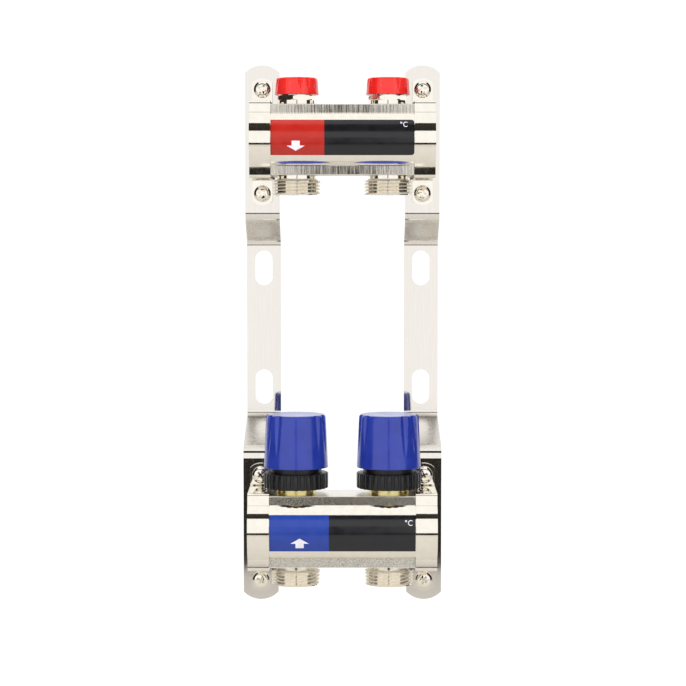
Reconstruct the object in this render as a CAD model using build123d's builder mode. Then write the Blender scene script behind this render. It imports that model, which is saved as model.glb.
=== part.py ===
# Two-way heating manifold: a supply bar and a return bar on two stepped wall brackets.
# Frame: +X to the right, +Y into the wall, +Z up. The wall is the plane Y = 0 and the
# origin lies on it, midway between the two bars and between the four wall slots.

import os
from math import atan2, cos, pi, radians, sin, sqrt
from build123d import *

os.makedirs("parts", exist_ok=True)

# Manifold layout
bar_spacing = 210.0
outlet_pitch = 50.0
supply_standoff = 43.0
return_standoff = 75.0

# Bar section and bores
bar_length = 100.0
bar_height = 38.5
bar_top = bar_height / 2
bulge_radius = 21.5
bulge_rise = 7.0
flat_depth = 2 * (bulge_radius - bulge_rise)
bar_edge_radius = 0.8
waterway_radius = 14.0
end_port_radius = 15.15
end_port_depth = 14.0
valve_hole_radius = 10.0
nipple_hole_radius = 9.0

# Fits
thread_clearance = 0.05
seat_clearance = 0.05
wrap_clearance = 0.1

# Brackets
bracket_setback = 5.2
bracket_span = bar_length - 2 * bracket_setback
strip_width = 19.2
strip_thickness = 2.5
bracket_height = 295.0
bracket_end_radius = 13.0
upper_bend_top = 63.0
upper_bend_bottom = 51.0
lower_bend_top = -51.5
lower_bend_bottom = -65.5
bend_radius = 4.0
slot_width = 10.0
slot_length = 20.0
slot_spacing = 68.0

# Clamp straps and their screws
strap_width = 11.5
strap_thickness = 1.5
strap_bend_radius = 1.0
ear_length = 16.15
ear_reach = bar_top + ear_length
ear_end_radius = 8.0
screw_rise = 9.75
clamp_screw_offset = bar_top + screw_rise
return_ear_drop = 2.4
screw_radius = 2.45
screw_length = 9.0
screw_head_radius = 4.7
screw_head_height = 3.0
screw_crown_radius = 1.8
recess_length = 5.4
recess_width = 1.2
recess_depth = 1.8
recess_turn = 30.0
recess_taper = 12.0

# Labels on the front of the bars, between the straps
label_gap = 0.15
label_length = bracket_span - strap_width - 2 * label_gap
label_angle = 54.0
label_thickness = 0.3
glue_thickness = 0.05

# Outlet nipples with a three-quarter inch outside thread; heights from the bar's bottom face
nipple_thread_radius = 13.2
nipple_neck_radius = 10.8
nipple_bore_radius = 7.0
nipple_mouth_radius = 9.5
nipple_mouth_depth = 6.0
nipple_neck_end = -2.05
nipple_thread_start = -3.15
nipple_end = -10.75
nipple_chamfer = 0.6
seat_height = 7.25

# Lockshield valves on the supply bar; heights from the bar's top face
shield_collar_radius = 10.6
shield_collar_top = 2.35
hex_across_flats = 18.5
hex_top = 5.15
hex_turns = {"left": 20.0, "right": 4.0}
hex_face_radius = 9.6
hex_chamfer_slope = sqrt(3)
shield_thread_radius = 9.0
shield_top = 12.15
valve_foot = -9.25
spindle_bore_radius = 5.0
spindle_top = 9.75
spindle_head_bottom = -2.25
spindle_shaft_radius = 3.0
spindle_travel = 4.0
spindle_socket_across = 5.0
spindle_socket_depth = 4.0
plug_radius = 8.4
plug_thickness = 2.0
plug_nose_radius = 5.5
plug_nose_height = 1.6
seal_groove_radius = 3.4
seal_groove_height = 2.0
seal_groove_bottom = 1.75
seal_section = 0.72
seal_ring_radius = 4.2

# Red protective caps; heights from the bar's top face
cap_bottom_radius = 12.05
cap_top_radius = 11.2
cap_bottom = 5.45
cap_top = 14.75
cap_edge_radius = 1.2
cap_turns = {"left": -30.0, "right": -10.0}
cap_flute_radius = 1.5
cap_flute_depth = 0.9
cap_flute_reach = 0.66
gasket_thickness = 0.8
gasket_inner_radius = 6.2

# Valve inserts on the return bar; heights from the bar's top face
insert_neck_radius = 10.5
insert_neck_top = 3.35
insert_thread_radius = 14.9
insert_top = 7.75
spring_chamber_radius = 6.0
spring_seat = -7.25
pin_radius = 2.0
pin_top = 12.25
pin_hole_radius = 2.6
pin_travel = 2.4
pin_collar_radius = 5.4
pin_collar_bottom = 0.35
pin_collar_top = 1.95
disc_radius = 8.5
disc_thickness = 2.2
disc_holder_radius = 7.8
disc_holder_thickness = 1.8
disc_button_radius = 2.4
disc_button_height = 1.6
gland_radius = 7.0
gland_bottom = 2.35
gland_flange_radius = 7.9
gland_flange_height = 0.9
spring_radius = 4.6
spring_wire_radius = 0.45
spring_turns = 4.0

# Union rings and carriers of the hand wheels; heights from the bar's top face
ring_radius = 17.3
ring_bottom = 3.05
ring_top = 11.35
ring_lip = 1.6
ring_ribs = 28
ring_rib_depth = 0.7
ring_rib_share = 0.45
carrier_radius = 13.85
carrier_flange_radius = 14.8
carrier_top = 26.75
carrier_nut_bottom = 12.25
carrier_wall = 1.8

# Blue hand wheels; heights from the bar's top face
wheel_bottom_radius = 17.3
wheel_top_radius = 16.0
wheel_bottom = 14.15
wheel_top = 42.65
wheel_edge_radius = 1.6
wheel_roof = 3.0
wheel_skirt_clearance = 0.35
wheel_spindle_radius = 5.0
wheel_turns = {"left": 5.0, "right": -10.0}
flute_groups = 2
flutes_in_group = 5
flute_step = 25.0
flute_radius = 2.6
flute_depth = 1.5
flute_reach = 0.76

# Places worked out from the sizes above
supply_axis = (0, -supply_standoff, bar_spacing / 2)
return_axis = (0, -return_standoff, -bar_spacing / 2)
bracket_x = bracket_span / 2
supply_plate = supply_standoff - bulge_radius
return_plate = return_standoff - bulge_radius
seat_below_top = seat_height - bar_height
disc_bottom = seat_below_top + pin_travel + seat_clearance
disc_top = disc_bottom + disc_thickness
plug_bottom = seat_below_top + spindle_travel + seat_clearance
gasket_top = shield_top + gasket_thickness
ring_gap_width = 2 * pi * ring_radius / ring_ribs * (1 - ring_rib_share)
label_radius = bulge_radius + glue_thickness
sides = (("left", -1), ("right", 1))


def at_outlet(axis, side, height=0):
    """Plane at one outlet, at a height above the bar's axis, with Z up the valve."""
    x, y, z = axis
    return Plane(origin=(x + side * outlet_pitch / 2, y, z + height))


def stage(radius, bottom, top, mode=Mode.ADD):
    """One turned step between two heights of the part that is being built."""
    with Locations((0, 0, bottom)):
        Cylinder(radius, top - bottom, align=(Align.CENTER, Align.CENTER, Align.MIN), mode=mode)


def taper(bottom_radius, top_radius, bottom, top, mode=Mode.ADD):
    """One turned cone between two heights of the part that is being built."""
    with Locations((0, 0, bottom)):
        Cone(bottom_radius, top_radius, top - bottom,
             align=(Align.CENTER, Align.CENTER, Align.MIN), mode=mode)


def save(builder, name):
    """Label a finished piece and write its file."""
    builder.part.label = name
    export_step(builder.part, f"parts/{name}.step")


# Section of a bar: flat top and bottom faces with a round bulge front and back.
# The sketch lies in the YZ plane, with its local X along Y and its local Y along Z.
def bar_section(grow=0.0):
    with BuildSketch() as section:
        Circle(bulge_radius + grow)
        Rectangle(2 * (bulge_radius + grow), bar_height + 2 * grow, mode=Mode.INTERSECT)
        Rectangle(flat_depth + 2 * grow, bar_height + 2 * grow)
    return section.sketch


def across_bar(axis, x):
    """Plane across a bar at one X, with its normal along +X."""
    return Plane(origin=(x, axis[1], axis[2]), x_dir=(0, 1, 0), z_dir=(1, 0, 0))


# Bars: a through waterway, a threaded port at each end, and two valve places
for bar_name, axis in (("supply_bar", supply_axis), ("return_bar", return_axis)):
    with BuildPart() as bar:
        with BuildSketch(across_bar(axis, -bar_length / 2)):
            add(bar_section())
        extrude(amount=bar_length)
        long_edges = bar.edges().filter_by(Axis.X).group_by(SortBy.LENGTH)[-1]
        corner_edges = [e for e in long_edges if abs(abs(e.center().Z - axis[2]) - bar_top) < 0.01]
        fillet(corner_edges, bar_edge_radius)
        with BuildSketch(across_bar(axis, -bar_length / 2)):
            Circle(waterway_radius)
        extrude(amount=bar_length, mode=Mode.SUBTRACT)
        for side in (-1, 1):
            with BuildSketch(across_bar(axis, side * bar_length / 2)):
                Circle(end_port_radius)
            extrude(amount=-side * end_port_depth, mode=Mode.SUBTRACT)
            outlet = at_outlet(axis, side)
            with BuildSketch(outlet):
                Circle(valve_hole_radius)
            extrude(amount=bar_height, mode=Mode.SUBTRACT)
            with BuildSketch(outlet):
                Circle(nipple_hole_radius)
            extrude(amount=-bar_height, mode=Mode.SUBTRACT)
    save(bar, bar_name)

# Labels: thin printed strips that follow the front bulge between the clamp straps
for label_name, axis in (("supply_label", supply_axis), ("return_label", return_axis)):
    with BuildPart() as label:
        with BuildSketch(across_bar(axis, -label_length / 2)):
            with BuildLine():
                start = 180 - label_angle / 2
                inner = CenterArc((0, 0), label_radius, start, label_angle)
                outer = CenterArc((0, 0), label_radius + label_thickness, start, label_angle)
                Line(inner @ 0, outer @ 0)
                Line(inner @ 1, outer @ 1)
            make_face()
        extrude(amount=label_length)
    save(label, label_name)

# Brackets: one strip each, stepped forward at the top and further at the bottom.
# The profile line is the back of the strip, so that the thickness lies in front.
half_height = bracket_height / 2
strip_line = [
    (-supply_plate + strip_thickness, half_height),
    (-supply_plate + strip_thickness, upper_bend_top),
    (0, upper_bend_bottom),
    (0, lower_bend_top),
    (-return_plate + strip_thickness, lower_bend_bottom),
    (-return_plate + strip_thickness, -half_height),
]
screw_places = [
    (-supply_plate, bar_spacing / 2 + clamp_screw_offset),
    (-supply_plate, bar_spacing / 2 - clamp_screw_offset),
    (-return_plate, -bar_spacing / 2 - return_ear_drop + clamp_screw_offset),
    (-return_plate, -bar_spacing / 2 - return_ear_drop - clamp_screw_offset),
]
for side_name, side in sides:
    left_edge = side * bracket_x - strip_width / 2
    with BuildPart() as bracket:
        with BuildSketch(Plane.YZ.offset(left_edge)):
            with BuildLine():
                back = FilletPolyline(*strip_line, radius=bend_radius)
                offset(back, amount=strip_thickness, side=Side.RIGHT)
            make_face()
        extrude(amount=strip_width)
        with BuildSketch(Plane.XZ):
            with Locations((side * bracket_x, 0)):
                Rectangle(strip_width, bracket_height)
                with GridLocations(0, bracket_height - bracket_end_radius, 1, 2):
                    Rectangle(strip_width, bracket_end_radius, mode=Mode.SUBTRACT)
            for end in (-1, 1):
                with Locations((side * bracket_x, end * (half_height - bracket_end_radius))):
                    Circle(bracket_end_radius)
            with Locations((side * bracket_x, 0)):
                Rectangle(strip_width, bracket_height, mode=Mode.INTERSECT)
                with GridLocations(0, slot_spacing, 1, 2):
                    SlotOverall(slot_length, slot_width, rotation=90, mode=Mode.SUBTRACT)
        extrude(amount=return_standoff, mode=Mode.INTERSECT)
        for front, height in screw_places:
            with BuildSketch(Plane.XZ.offset(-front)):
                with Locations((side * bracket_x, height)):
                    Circle(screw_radius + thread_clearance)
            extrude(amount=-strip_thickness, mode=Mode.SUBTRACT)
    save(bracket, f"{side_name}_bracket")

# Clamp straps: each follows the bar's front, and its two ears lie on the bracket
outside = strap_thickness + wrap_clearance
for bar_name, axis, ear_drop in (("supply", supply_axis, 0), ("return", return_axis, return_ear_drop)):
    ear_middle = axis[2] - ear_drop
    for side_name, side in sides:
        strap_left = side * bracket_x - strap_width / 2
        with BuildPart() as strap:
            with BuildSketch(across_bar(axis, strap_left)) as omega:
                add(bar_section(outside))
                with Locations((bulge_radius / 2, 0)):
                    Rectangle(bulge_radius, bar_height + 2 * outside)
                with Locations((bulge_radius - strap_thickness / 2, -ear_drop)):
                    Rectangle(strap_thickness, 2 * ear_reach)
                add(bar_section(wrap_clearance), mode=Mode.SUBTRACT)
                with Locations((bulge_radius, 0)):
                    Rectangle(2 * bulge_radius, bar_height + 2 * wrap_clearance, mode=Mode.SUBTRACT)
                roots = omega.vertices().filter_by(
                    lambda v: abs(v.X - bulge_radius + strap_thickness) < 0.01
                    and abs(abs(v.Y) - bar_top - outside) < 0.01
                )
                fillet(roots, strap_bend_radius)
            extrude(amount=strap_width)
            with BuildSketch(Plane.XZ):
                with Locations((side * bracket_x, ear_middle)):
                    Rectangle(strap_width, 2 * ear_reach)
                    with GridLocations(0, 2 * ear_reach - ear_end_radius, 1, 2):
                        Rectangle(strap_width, ear_end_radius, mode=Mode.SUBTRACT)
                    with GridLocations(0, 2 * (ear_reach - ear_end_radius), 1, 2):
                        Circle(ear_end_radius)
                    Rectangle(strap_width, 2 * ear_reach, mode=Mode.INTERSECT)
                    with GridLocations(0, 2 * clamp_screw_offset, 1, 2):
                        Circle(screw_radius + 2 * thread_clearance, mode=Mode.SUBTRACT)
            extrude(amount=return_standoff + 2 * bulge_radius, mode=Mode.INTERSECT)
        save(strap, f"{bar_name}_strap_{side_name}")

        # Pan head screws with a cross recess, through the ears into the bracket
        head_seat = -axis[1] - bulge_radius + strap_thickness
        with BuildPart() as screws:
            for height in (ear_middle + clamp_screw_offset, ear_middle - clamp_screw_offset):
                seat = Plane(origin=(side * bracket_x, -head_seat, height), x_dir=(1, 0, 0), z_dir=(0, -1, 0))
                with BuildSketch(seat):
                    Circle(screw_radius)
                extrude(amount=-screw_length)
                with BuildSketch(seat):
                    Circle(screw_head_radius)
                head = extrude(amount=screw_head_height)
                crown = head.edges().filter_by(GeomType.CIRCLE).sort_by(Axis.Y)[0]
                fillet(crown, screw_crown_radius)
                with BuildSketch(seat.offset(screw_head_height)):
                    Rectangle(recess_length, recess_width, rotation=recess_turn)
                    Rectangle(recess_width, recess_length, rotation=recess_turn)
                extrude(amount=-recess_depth, taper=recess_taper, mode=Mode.SUBTRACT)
        save(screws, f"{bar_name}_screws_{side_name}")

# Outlet nipples: the inner end is the valve seat, the outer end takes a pipe union
for bar_name, axis in (("supply", supply_axis), ("return", return_axis)):
    for side_name, side in sides:
        with BuildPart(at_outlet(axis, side, -bar_top)) as nipple:
            stage(nipple_hole_radius - thread_clearance, 0, seat_height)
            stage(nipple_neck_radius, nipple_neck_end, 0)
            taper(nipple_thread_radius - nipple_chamfer, nipple_neck_radius, nipple_thread_start, nipple_neck_end)
            stage(nipple_thread_radius, nipple_end, nipple_thread_start)
            rims = nipple.edges().filter_by(GeomType.CIRCLE).group_by(SortBy.RADIUS)[-1]
            chamfer(rims.sort_by(Axis.Z)[0], nipple_chamfer)
            stage(nipple_bore_radius, nipple_end, seat_height, mode=Mode.SUBTRACT)
            taper(nipple_mouth_radius, nipple_bore_radius, nipple_end, nipple_end + nipple_mouth_depth,
                  mode=Mode.SUBTRACT)
        save(nipple, f"{bar_name}_nipple_{side_name}")


def cut_flute(outlet, turn, radii, heights, depth, reach, groove_radius):
    """Cut one flute that is deepest at the knob's top and runs out down its side."""
    bottom_radius, top_radius = radii
    bottom, top = heights
    angle = radians(turn - 90)
    radial = Vector(cos(angle), sin(angle), 0)
    upward = Vector(0, 0, 1)
    run_height = top - reach * (top - bottom)
    run_radius = top_radius + reach * (bottom_radius - top_radius)
    lean = atan2(run_radius - top_radius + depth, top - run_height)
    along = radial * sin(lean) - upward * cos(lean)
    outward = radial * cos(lean) + upward * sin(lean)
    start = outlet.origin + radial * (top_radius - depth) + upward * top
    start = start + outward * groove_radius - along * 2 * groove_radius
    with BuildSketch(Plane(origin=start, z_dir=along)) as groove:
        Circle(groove_radius)
    extrude(groove.sketch, amount=top - bottom, mode=Mode.SUBTRACT)


def flute_turns(plain_turn):
    """Turns of the flutes from the front: two groups, apart from two plain faces."""
    half_group = (flutes_in_group - 1) / 2
    centres = [plain_turn + 180 / flute_groups + 360 * g / flute_groups for g in range(flute_groups)]
    return [c + (i - half_group) * flute_step for c in centres for i in range(flutes_in_group)]


# Lockshield valves: body, regulating spindle with its seal, gasket and red cap
for side_name, side in sides:
    outlet = at_outlet(supply_axis, side, bar_top)

    with BuildPart(outlet) as shield:
        with BuildSketch(outlet.offset(shield_collar_top)):
            RegularPolygon(hex_across_flats / sqrt(3), 6, rotation=hex_turns[side_name])
        extrude(amount=hex_top - shield_collar_top)
        cone_rise = (hex_top - shield_collar_top) * hex_chamfer_slope
        taper(hex_face_radius, hex_face_radius + cone_rise, shield_collar_top, hex_top, mode=Mode.INTERSECT)
        taper(hex_face_radius + cone_rise, hex_face_radius, shield_collar_top, hex_top, mode=Mode.INTERSECT)
        stage(valve_hole_radius - thread_clearance, valve_foot, 0)
        stage(shield_collar_radius, 0, shield_collar_top)
        stage(shield_thread_radius, hex_top, shield_top)
        stage(spindle_bore_radius, valve_foot, shield_top, mode=Mode.SUBTRACT)
    save(shield, f"lockshield_body_{side_name}")

    with BuildPart(outlet) as spindle:
        stage(spindle_bore_radius - thread_clearance, spindle_head_bottom, spindle_top)
        stage(spindle_shaft_radius, plug_bottom + plug_thickness, spindle_head_bottom)
        stage(plug_radius, plug_bottom, plug_bottom + plug_thickness)
        taper(plug_nose_radius - plug_nose_height, plug_nose_radius, plug_bottom - plug_nose_height, plug_bottom)
        with BuildSketch(outlet.offset(seal_groove_bottom)):
            Circle(spindle_bore_radius)
            Circle(seal_groove_radius, mode=Mode.SUBTRACT)
        extrude(amount=seal_groove_height, mode=Mode.SUBTRACT)
        with BuildSketch(outlet.offset(spindle_top)):
            RegularPolygon(spindle_socket_across / sqrt(3), 6)
        extrude(amount=-spindle_socket_depth, mode=Mode.SUBTRACT)
    save(spindle, f"regulating_spindle_{side_name}")

    with BuildPart(outlet) as seal:
        with Locations((0, 0, seal_groove_bottom + seal_groove_height / 2)):
            Torus(seal_ring_radius, seal_section)
    save(seal, f"spindle_seal_{side_name}")

    with BuildPart(outlet) as gasket:
        stage(shield_thread_radius - wrap_clearance, shield_top, gasket_top)
        stage(gasket_inner_radius, shield_top, gasket_top, mode=Mode.SUBTRACT)
    save(gasket, f"cap_gasket_{side_name}")

    with BuildPart(outlet) as red_cap:
        taper(cap_bottom_radius, cap_top_radius, cap_bottom, cap_top)
        fillet(red_cap.edges().filter_by(GeomType.CIRCLE).sort_by(Axis.Z)[-1], cap_edge_radius)
        for turn in flute_turns(cap_turns[side_name]):
            cut_flute(outlet, turn, (cap_bottom_radius, cap_top_radius), (cap_bottom, cap_top),
                      cap_flute_depth, cap_flute_reach, cap_flute_radius)
        stage(shield_thread_radius + thread_clearance, cap_bottom, gasket_top, mode=Mode.SUBTRACT)
    save(red_cap, f"red_cap_{side_name}")

# Return valves: brass insert, pin with its disc and spring, gland, union ring,
# carrier and blue hand wheel
for side_name, side in sides:
    outlet = at_outlet(return_axis, side, bar_top)

    with BuildPart(outlet) as insert:
        stage(valve_hole_radius - thread_clearance, valve_foot, 0)
        stage(insert_neck_radius, 0, insert_neck_top)
        stage(insert_thread_radius, insert_neck_top, insert_top)
        stage(pin_hole_radius, valve_foot, spring_seat, mode=Mode.SUBTRACT)
        stage(spring_chamber_radius, spring_seat, gland_bottom, mode=Mode.SUBTRACT)
        stage(gland_radius + thread_clearance, gland_bottom, insert_top, mode=Mode.SUBTRACT)
    save(insert, f"valve_insert_{side_name}")

    with BuildPart(outlet) as pin:
        stage(pin_radius, disc_top, pin_top)
        stage(pin_collar_radius, pin_collar_bottom, pin_collar_top)
        stage(disc_holder_radius, disc_top, disc_top + disc_holder_thickness)
        stage(disc_button_radius, disc_top - disc_button_height, disc_top)
    save(pin, f"valve_pin_{side_name}")

    with BuildPart(outlet) as disc:
        stage(disc_radius, disc_bottom, disc_top)
        stage(disc_button_radius + thread_clearance, disc_bottom, disc_top, mode=Mode.SUBTRACT)
    save(disc, f"valve_disc_{side_name}")

    with BuildPart(outlet) as gland:
        stage(gland_radius, gland_bottom, insert_top)
        with BuildSketch(outlet.offset(insert_top)):
            RegularPolygon(gland_flange_radius, 6)
        extrude(amount=gland_flange_height)
        stage(pin_radius + thread_clearance, gland_bottom, insert_top + gland_flange_height, mode=Mode.SUBTRACT)
    save(gland, f"gland_nut_{side_name}")

    coil_height = pin_collar_bottom - spring_seat - 2 * spring_wire_radius
    coil_start = outlet.offset(spring_seat + spring_wire_radius)
    with BuildPart() as spring:
        with BuildLine(coil_start):
            coil = Helix(coil_height / spring_turns, coil_height, spring_radius)
        with BuildSketch(Plane(origin=coil @ 0, z_dir=coil % 0)):
            RegularPolygon(spring_wire_radius, 6)
        sweep(path=coil)
    save(spring, f"return_spring_{side_name}")

    with BuildPart(outlet) as ring:
        stage(ring_radius, ring_bottom, ring_top)
        with BuildSketch(outlet.offset(ring_bottom)):
            with PolarLocations(ring_radius, ring_ribs):
                Rectangle(2 * ring_rib_depth, ring_gap_width)
        extrude(amount=ring_top - ring_bottom, mode=Mode.SUBTRACT)
        stage(insert_thread_radius + thread_clearance, ring_bottom, ring_top - ring_lip, mode=Mode.SUBTRACT)
        stage(carrier_radius + wrap_clearance, ring_top - ring_lip, ring_top, mode=Mode.SUBTRACT)
    save(ring, f"union_ring_{side_name}")

    with BuildPart(outlet) as carrier:
        stage(carrier_flange_radius, insert_top, ring_top - ring_lip - wrap_clearance)
        stage(carrier_radius, ring_top - ring_lip - wrap_clearance, carrier_top)
        stage(gland_flange_radius + wheel_skirt_clearance, insert_top, carrier_nut_bottom, mode=Mode.SUBTRACT)
        with BuildSketch(outlet.offset(carrier_top)):
            Circle(carrier_radius - carrier_wall)
            Circle(wheel_spindle_radius + thread_clearance + carrier_wall, mode=Mode.SUBTRACT)
        extrude(amount=carrier_nut_bottom + 2 * carrier_wall - carrier_top, mode=Mode.SUBTRACT)
        stage(wheel_spindle_radius + thread_clearance, carrier_nut_bottom, carrier_top, mode=Mode.SUBTRACT)
    save(carrier, f"wheel_carrier_{side_name}")

    with BuildPart(outlet) as wheel:
        taper(wheel_bottom_radius, wheel_top_radius, wheel_bottom, wheel_top)
        fillet(wheel.edges().filter_by(GeomType.CIRCLE).sort_by(Axis.Z)[-1], wheel_edge_radius)
        for turn in flute_turns(wheel_turns[side_name]):
            cut_flute(outlet, turn, (wheel_bottom_radius, wheel_top_radius), (wheel_bottom, wheel_top),
                      flute_depth, flute_reach, flute_radius)
        stage(carrier_radius + wheel_skirt_clearance, wheel_bottom, wheel_top - wheel_roof, mode=Mode.SUBTRACT)
        stage(wheel_spindle_radius, pin_top, wheel_top - wheel_roof)
    save(wheel, f"hand_wheel_{side_name}")
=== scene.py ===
# %% [markdown]
# # A two-way heating manifold
#
# The object is a plumber's manifold: two nickel plated brass bars on two stepped brackets.
# Red capped lockshield valves stand on the upper bar, and blue hand wheels on the lower one.
# Almost all of it is bright metal, so the picture is made by clean curved shapes and by what
# they mirror. That is why the sheet metal, bars and threads are modelled again here with
# fine, even meshes, at the sizes of the solids that the frame brings along.

# %% Load the solids from model.glb
from bisect import bisect_right
from math import asin, atan2, cos, hypot, pi, radians, sin, sqrt, tan
import bmesh
import bpy
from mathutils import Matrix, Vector
from mathutils.geometry import tessellate_polygon


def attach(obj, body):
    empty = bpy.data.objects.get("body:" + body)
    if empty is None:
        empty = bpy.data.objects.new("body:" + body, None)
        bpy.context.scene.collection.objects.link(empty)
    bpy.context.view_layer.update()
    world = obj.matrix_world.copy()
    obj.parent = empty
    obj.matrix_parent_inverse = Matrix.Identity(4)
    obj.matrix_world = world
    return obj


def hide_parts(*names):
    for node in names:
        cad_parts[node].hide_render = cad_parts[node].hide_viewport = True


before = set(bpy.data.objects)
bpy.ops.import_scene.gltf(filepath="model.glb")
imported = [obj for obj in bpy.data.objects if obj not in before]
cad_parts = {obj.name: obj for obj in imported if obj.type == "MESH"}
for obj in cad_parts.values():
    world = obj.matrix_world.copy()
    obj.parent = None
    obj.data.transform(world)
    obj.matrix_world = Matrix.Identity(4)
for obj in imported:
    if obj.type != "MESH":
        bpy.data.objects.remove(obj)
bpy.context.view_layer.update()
scene = bpy.context.scene
MM = 0.001

# %% [markdown]
# ## Camera
#
# The manifold was photographed square on and from a little above, with a long lens: the tops
# of the lower wheels show, the tops of the red caps hardly do. A long lens far away keeps the
# two bars almost equally large. The numbers came from matching edges of known size.

# %% Place the camera
image_width = 686
focal_pixels = 2100.0
camera_distance = 1202.0
camera_height = 60.7
camera_side = 0.33
camera_pitch = 0.058

camera_data = bpy.data.cameras.new("camera")
camera_data.sensor_width = 36.0
camera_data.lens = focal_pixels * camera_data.sensor_width / image_width
camera_data.clip_end = 50.0
camera = bpy.data.objects.new("camera", camera_data)
camera.location = (camera_side * MM, -camera_distance * MM, camera_height * MM)
camera.rotation_euler = (pi / 2 - camera_pitch, 0, 0)
scene.collection.objects.link(camera)
scene.camera = camera
scene.view_settings.view_transform = "Standard"
print("lens", round(camera_data.lens, 1), "mm")

# %% [markdown]
# ## Sizes
#
# These are the sizes of the real part in millimetres, the same as in the solids: +X to the
# right, +Y into the wall, +Z up, and the origin on the wall midway between the two bars.

# %% Sizes shared by many pieces
bar_spacing = 210.0
outlet_offset = 25.0
supply_axis = (-43.0, bar_spacing / 2)
return_axis = (-75.0, -bar_spacing / 2)
axes = {"supply": supply_axis, "return": return_axis}
sides = {"left": -1, "right": 1}
bar_length = 100.0
bar_top = 19.25
bar_front = 21.5
bulge_radius = 18.4
bulge_centre = bar_front - bulge_radius
half_depth = 14.5
bracket_x = 44.8
print("bars at", axes)

# %% [markdown]
# ## One helper for nodes
#
# Materials and Geometry Nodes trees are both node trees, so a single small function can add
# any node, set its options, and fill or link its inputs.

# %% Add a node


def add_node(tree, kind, inputs=None, **settings):
    node = tree.nodes.new(kind)
    for key, value in settings.items():
        setattr(node, key, value)
    for key, value in (inputs or {}).items():
        if isinstance(value, bpy.types.NodeSocket):
            tree.links.new(value, node.inputs[key])
        else:
            node.inputs[key].default_value = value
    return node


# %% Turn a written colour into the renderer's linear one


def colour(code):
    """sRGB hex to linear RGBA."""
    parts = [int(code[i:i + 2], 16) / 255 for i in (1, 3, 5)]
    return [p / 12.92 if p <= 0.04045 else ((p + 0.055) / 1.055) ** 2.4 for p in parts] + [1.0]


# %% [markdown]
# ## Finishes
#
# Every finish starts from the real material. A metal has one metallic colour and is changed
# only by how smooth it is. Plastics have a colour under a clear, slightly wavy skin.
# Patterns are laid out on Object coordinates, which here are metres on the part itself.

# %% A material that starts with the object's own coordinates


def start_material(name, base, metallic, roughness):
    material = bpy.data.materials.new(name)
    material.use_nodes = True
    tree = material.node_tree
    shader = tree.nodes["Principled BSDF"]
    shader.inputs["Base Color"].default_value = colour(base)
    shader.inputs["Metallic"].default_value = metallic
    shader.inputs["Roughness"].default_value = roughness
    place = add_node(tree, "ShaderNodeTexCoord").outputs["Object"]
    return material, tree, shader, place


def vary(tree, shader, place, stretch, size, roughness, tones, detail=2.0):
    """Let a stretched noise move the roughness, and the colour between two tones."""
    spread = add_node(tree, "ShaderNodeMapping", {"Vector": place, "Scale": stretch})
    noise = add_node(tree, "ShaderNodeTexNoise",
                     {"Vector": spread.outputs[0], "Scale": 1 / (size * MM), "Detail": detail})
    smooth = add_node(tree, "ShaderNodeMapRange",
                      {0: noise.outputs["Fac"], 1: 0.3, 2: 0.7, 3: roughness[0], 4: roughness[1]})
    tree.links.new(smooth.outputs[0], shader.inputs["Roughness"])
    ramp = add_node(tree, "ShaderNodeValToRGB", {"Fac": noise.outputs["Fac"]})
    for stop, tone, spot in zip(ramp.color_ramp.elements, tones, (0.35, 0.65)):
        stop.color = colour(tone)
        stop.position = spot
    tree.links.new(ramp.outputs["Color"], shader.inputs["Base Color"])
    return noise.outputs["Fac"]


def emboss(tree, shader, height, depth):
    """Bump the surface by a height pattern whose full swing is depth millimetres."""
    bump = add_node(tree, "ShaderNodeBump", {"Height": height, "Strength": 1.0, "Distance": depth * MM})
    tree.links.new(bump.outputs[0], shader.inputs["Normal"])


def finish(name, base, tones, grain, roughness, depth=0.0, metallic=1.0, stretch=(1, 1, 1), detail=2.0):
    """A surface whose tone, roughness and relief follow one noise, grain millimetres coarse."""
    material, tree, shader, place = start_material(name, base, metallic, sum(roughness) / 2)
    pattern = vary(tree, shader, place, stretch, grain, roughness, tones, detail)
    if depth:
        emboss(tree, shader, pattern, depth)
    return material


# %% Nickel plate in its six states
# Bright nickel is a warm, slightly yellow grey that mirrors almost as cleanly as chrome.
# On the cast and extruded parts the plating follows a faint waviness, some 4 mm long.
bright_nickel = finish("bright_nickel_plate", "#F8F2E6", ("#F6F0E3", "#FAF5EB"), 4.0, (0.04, 0.07), 0.003)

# Sheet strip is rolled before it is plated: long faint lines along it, 0.8 mm apart.
strip_nickel = finish("rolled_nickel_strip", "#EDE9E2", ("#ECE7DF", "#EFEBE5"), 0.8, (0.035, 0.06), 0.0002,
                      stretch=(1, 1, 0.04), detail=1.0)

# Bent strip and the bars' flats are plated over a drawn skin, so there the nickel is satin.
satin_nickel = finish("satin_nickel_plate", "#EFEBE2", ("#ECE7DD", "#F3EFE8"), 1.5, (0.26, 0.36), 0.004)

# The narrow strips of the extruded bars keep the marks of the saw and the die, up and down,
# so they glitter instead of mirroring. The real lines are finer; 0.9 mm is what still shows.
milled_nickel = finish("milled_nickel_edge", "#E4DED2", ("#BDB7AC", "#F4EFE5"), 0.9, (0.08, 0.2), 0.012,
                       stretch=(1, 1, 0.06), detail=4.0)

# The upper strip of the lower bar has grains of 0.4 mm instead of lines.
grained_nickel = finish("grained_nickel_edge", "#C8C2B7", ("#A39D92", "#E6E0D5"), 0.4, (0.12, 0.22), 0.012,
                        detail=3.0)

# The strip below that bar's label is rougher still, and scatters light from the whole room.
rough_nickel = finish("rough_nickel_edge", "#E0DACE", ("#ACA69B", "#FAF6EC"), 0.4, (0.28, 0.42), 0.02,
                      detail=3.0)
print("nickel finishes ready")

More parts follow.
